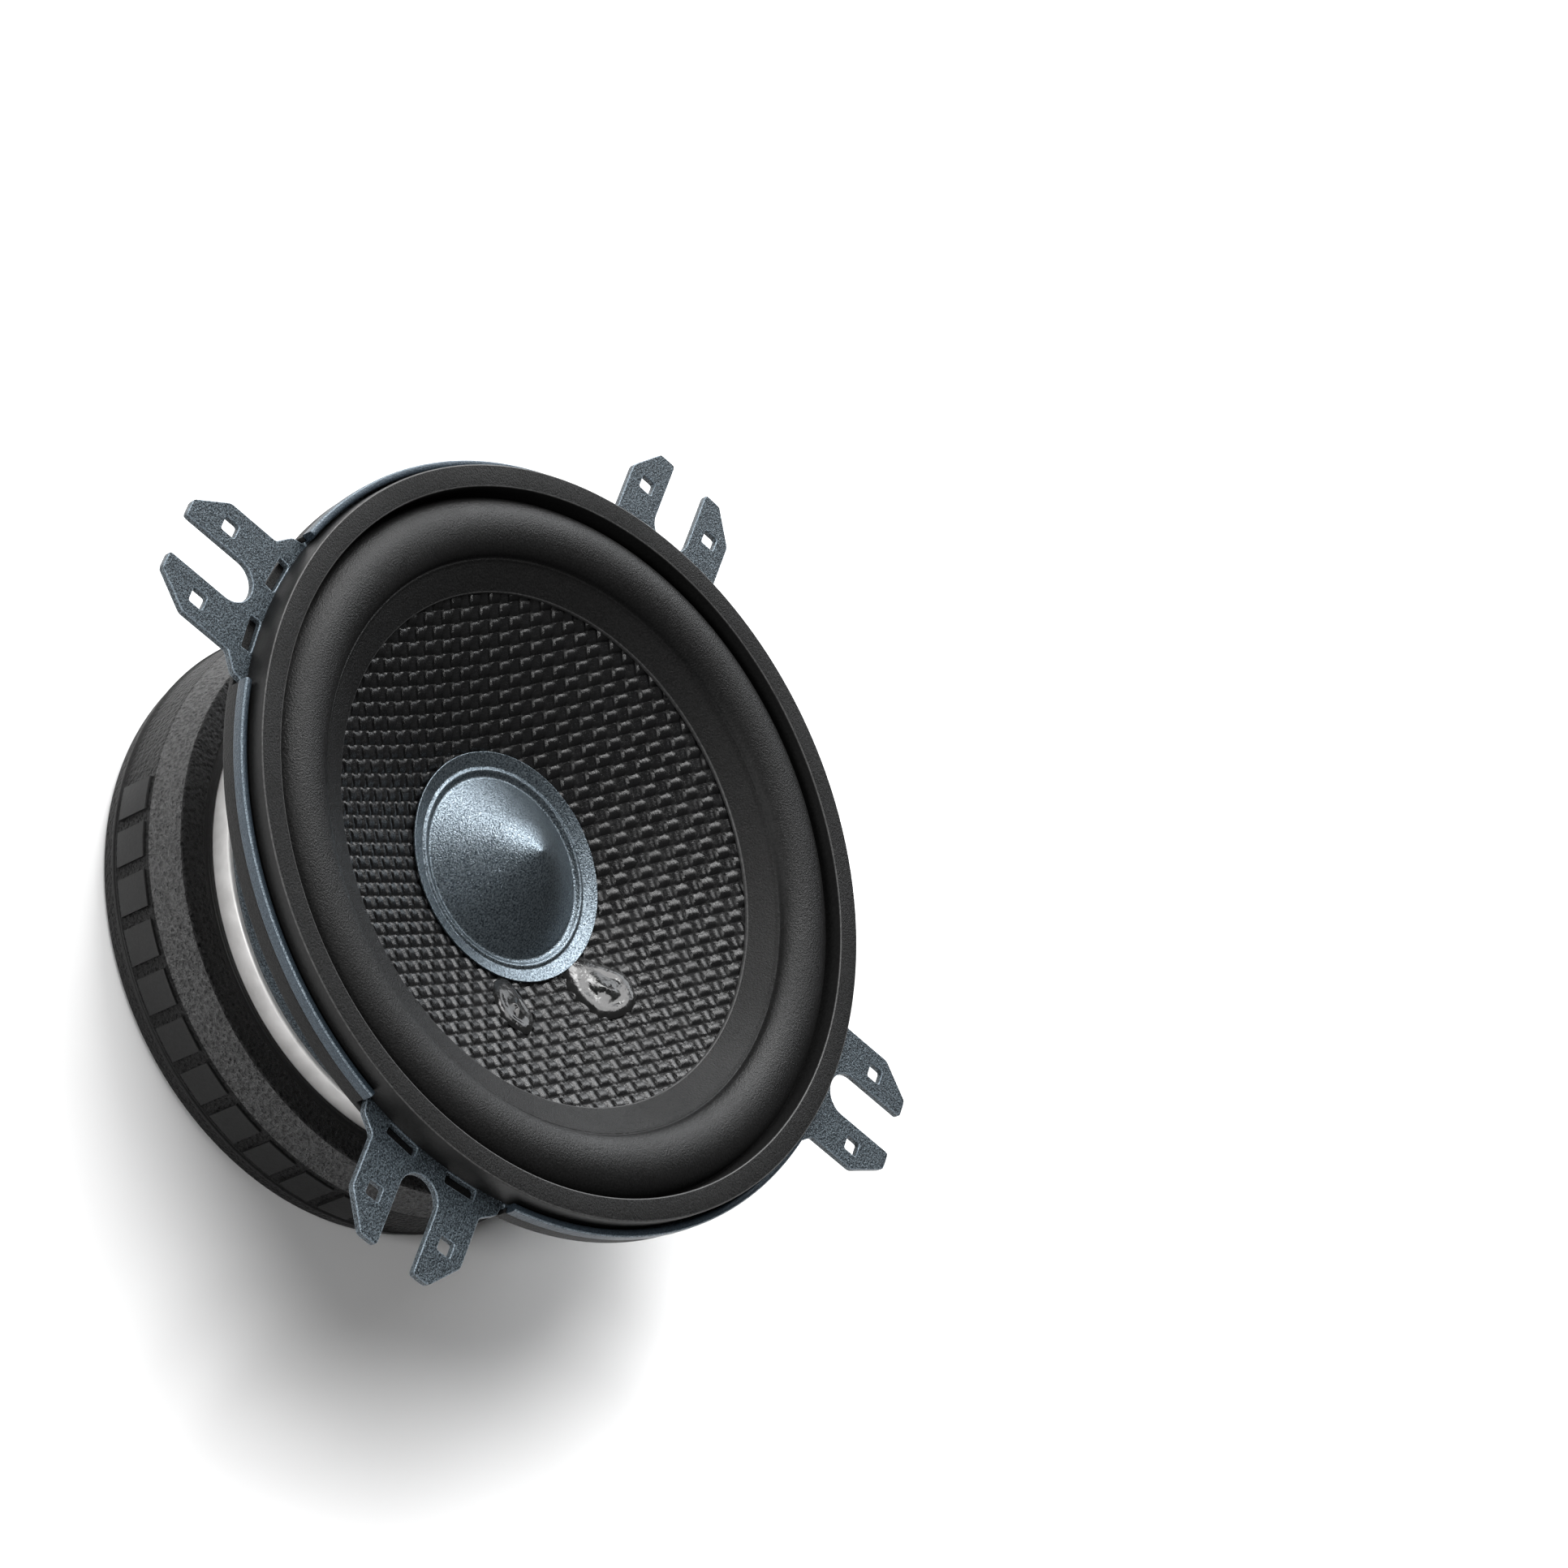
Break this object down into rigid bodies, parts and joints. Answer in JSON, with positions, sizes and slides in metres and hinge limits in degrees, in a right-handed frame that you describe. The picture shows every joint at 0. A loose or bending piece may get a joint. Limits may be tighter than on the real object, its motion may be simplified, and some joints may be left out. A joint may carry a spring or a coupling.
{
  "type": "car speaker driver",
  "caption": "Round four-inch car speaker with a slotted-ear stamped basket, woven fibre cone, conical metal dust cap, rubber roll surround and a rubber-booted magnet.",
  "frame": {"origin": "middle of the flat back of the magnet boot, on the speaker's axis", "axes": "+Z along the cone's axis, out of the front; the four slotted ears point along +X, +Y, -X and -Y; the terminals are between the -X and -Y ears"},
  "size_m": [0.1328, 0.1328, 0.0453],
  "materials": {
    "powder_coated_steel": "blue-grey fine-textured powder coat with a satin sparkle",
    "gasket_rubber": "matt black with a fine pebble",
    "surround_rubber": "satin black with a faint bloom",
    "woven_cone": "black plain-weave fibre cloth under glossy resin",
    "cap_metal": "blue-grey anodised, satin with a fine sparkle",
    "former_film": "amber film",
    "copper_wire": "enamelled copper wire, close wound",
    "spider_cloth": "resin-stiffened cotton cloth",
    "ring_plastic": "moulded black",
    "plated_steel": "bright nickel plate",
    "ferrite": "dull dark grey sintered ferrite",
    "boot_rubber": "black, coarse moulded grain",
    "phenolic_board": "brown paper phenolic",
    "tinned_brass": "tin-plated",
    "rivet_steel": "zinc-plated",
    "tinsel_wire": "braided copper tinsel round a textile core",
    "black_adhesive": "high-gloss black"
  },
  "bodies": {
    "frame": {"basket": "powder_coated_steel", "front_gasket": "gasket_rubber", "rear_gasket": "gasket_rubber", "surround": "surround_rubber", "spider": "spider_cloth", "spider_ring": "ring_plastic", "top_plate": "plated_steel", "magnet": "ferrite", "yoke": "plated_steel", "magnet_boot": "boot_rubber", "terminal_board": "phenolic_board", "positive_terminal": "tinned_brass", "negative_terminal": "tinned_brass", "positive_board_rivet": "rivet_steel", "negative_board_rivet": "rivet_steel", "basket_rivet_1": "rivet_steel", "basket_rivet_2": "rivet_steel", "basket_rivet_3": "rivet_steel", "basket_rivet_4": "rivet_steel", "tinsel_lead_positive": "tinsel_wire", "tinsel_lead_negative": "tinsel_wire"},
    "moving_assembly": {"cone": "woven_cone", "dust_cap": "cap_metal", "voice_coil_former": "former_film", "voice_coil_winding": "copper_wire", "lead_glue_dab_positive": "black_adhesive", "lead_glue_dab_negative": "black_adhesive"}
  },
  "joints": [
    {"name": "cone_travel", "type": "slide", "parent": "frame", "child": "moving_assembly", "axis": [0, 0, 1], "range_m": [-0.003, 0.003], "stiffness_N_per_m": 1200, "deforming": ["surround", "spider", "tinsel_lead_positive", "tinsel_lead_negative"]}
  ]
}
